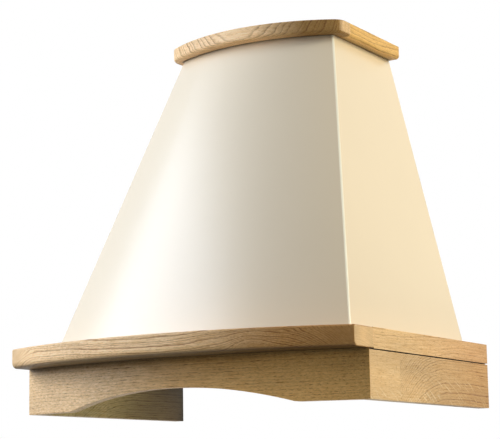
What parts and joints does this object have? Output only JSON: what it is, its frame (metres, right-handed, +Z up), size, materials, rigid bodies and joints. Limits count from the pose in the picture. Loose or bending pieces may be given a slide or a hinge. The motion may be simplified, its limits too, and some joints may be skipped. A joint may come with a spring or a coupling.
{
  "type": "dome cooker hood",
  "caption": "Wall-hung dome cooker hood: bowed sheet steel body between an oak crown and an arched oak apron, with filters, lamps, buttons, blower and duct collar.",
  "frame": {"origin": "centre of the four wall fixing holes, on the wall plane", "axes": "+X to the right seen from the front, +Y into the wall, +Z up"},
  "size_m": [0.6, 0.511, 0.6335],
  "materials": {
    "beech": "planed",
    "black_plastic": "matte",
    "button_plastic": "gloss",
    "capacitor_can": "plain",
    "fascia_plastic": "matte",
    "filter_aluminium": "satin",
    "filter_mesh": "woven mesh",
    "galvanised_steel": "galvanised",
    "housing_plastic": "matte",
    "impeller_plastic": "matte",
    "ivory_paint": "satin powder coat",
    "lamp_bezel": "satin chrome",
    "lamp_glass": "frosted",
    "lamp_housing": "plain",
    "motor_can": "black enamel",
    "oak": "satin lacquer",
    "pan_steel": "brushed",
    "spigot_plastic": "matte",
    "spring_steel": "plain",
    "zinc_steel": "zinc plated"
  },
  "bodies": {
    "hood": {"apron_dowels": "beech", "apron_front_board": "oak", "apron_glue_blocks": "beech", "apron_left_board": "oak", "apron_right_board": "oak", "back_panel": "galvanised_steel", "base_pan": "pan_steel", "blower_left_half": "housing_plastic", "blower_right_half": "housing_plastic", "blower_screws": "zinc_steel", "cable_gland": "black_plastic", "control_fascia": "fascia_plastic", "crown_dowels": "beech", "crown_front_rail": "oak", "crown_left_rail": "oak", "crown_right_rail": "oak", "crown_screws": "zinc_steel", "damper_pin": "zinc_steel", "dome_base_screws": "zinc_steel", "dome_front_panel": "ivory_paint", "dome_left_panel": "ivory_paint", "dome_right_panel": "ivory_paint", "hanger_plates": "galvanised_steel", "lamp_left_bezel": "lamp_bezel", "lamp_left_housing": "lamp_housing", "lamp_left_lens": "lamp_glass", "lamp_right_bezel": "lamp_bezel", "lamp_right_housing": "lamp_housing", "lamp_right_lens": "lamp_glass", "ledge_dowels": "beech", "ledge_front_rail": "oak", "ledge_left_rail": "oak", "ledge_right_rail": "oak", "motor": "motor_can", "motor_bracket": "galvanised_steel", "motor_bracket_screws": "zinc_steel", "motor_capacitor": "capacitor_can", "outlet_spigot": "spigot_plastic", "pan_screws": "zinc_steel", "spigot_screws": "zinc_steel", "switch_block": "black_plastic", "terminal_box": "black_plastic", "top_plate": "galvanised_steel"},
    "impeller": {"impeller": "impeller_plastic", "motor_shaft": "zinc_steel"},
    "damper_front": {"damper_front_flap": "spigot_plastic"},
    "damper_rear": {"damper_rear_flap": "spigot_plastic"},
    "filter_left": {"filter_left_frame": "filter_aluminium", "filter_left_mesh": "filter_mesh", "filter_left_pull": "spring_steel", "filter_left_clips": "spring_steel"},
    "filter_right": {"filter_right_frame": "filter_aluminium", "filter_right_mesh": "filter_mesh", "filter_right_pull": "spring_steel", "filter_right_clips": "spring_steel"},
    "button_1": {"push_button_1": "button_plastic"},
    "button_2": {"push_button_2": "button_plastic"},
    "button_3": {"push_button_3": "button_plastic"},
    "button_4": {"push_button_4": "button_plastic"},
    "button_5": {"push_button_5": "button_plastic"}
  },
  "joints": [
    {"name": "impeller_spin", "type": "hinge", "parent": "hood", "child": "impeller", "pos_m": [0, -0.178, -0.1], "axis": [1, 0, 0], "continuous": true},
    {"name": "damper_front_swing", "type": "hinge", "parent": "hood", "child": "damper_front", "pos_m": [0, -0.093, 0.1695], "axis": [-1, 0, 0], "range_deg": [0, 75]},
    {"name": "damper_rear_swing", "type": "hinge", "parent": "hood", "child": "damper_rear", "pos_m": [0, -0.093, 0.1695], "axis": [1, 0, 0], "range_deg": [0, 75]},
    {"name": "filter_left_drop", "type": "hinge", "parent": "hood", "child": "filter_left", "pos_m": [-0.11625, -0.027, -0.3535], "axis": [1, 0, 0], "range_deg": [0, 60]},
    {"name": "filter_right_drop", "type": "hinge", "parent": "hood", "child": "filter_right", "pos_m": [0.11625, -0.027, -0.3535], "axis": [1, 0, 0], "range_deg": [0, 60]},
    {"name": "button_1_press", "type": "slide", "parent": "hood", "child": "button_1", "axis": [0, 0, 1], "range_m": [0, 0.0025], "stiffness_N_per_m": 300, "springref_m": -0.003},
    {"name": "button_2_press", "type": "slide", "parent": "hood", "child": "button_2", "axis": [0, 0, 1], "range_m": [0, 0.0025], "stiffness_N_per_m": 300, "springref_m": -0.003},
    {"name": "button_3_press", "type": "slide", "parent": "hood", "child": "button_3", "axis": [0, 0, 1], "range_m": [0, 0.0025], "stiffness_N_per_m": 300, "springref_m": -0.003},
    {"name": "button_4_press", "type": "slide", "parent": "hood", "child": "button_4", "axis": [0, 0, 1], "range_m": [0, 0.0025], "stiffness_N_per_m": 300, "springref_m": -0.003},
    {"name": "button_5_press", "type": "slide", "parent": "hood", "child": "button_5", "axis": [0, 0, 1], "range_m": [0, 0.0025], "stiffness_N_per_m": 300, "springref_m": -0.003}
  ]
}
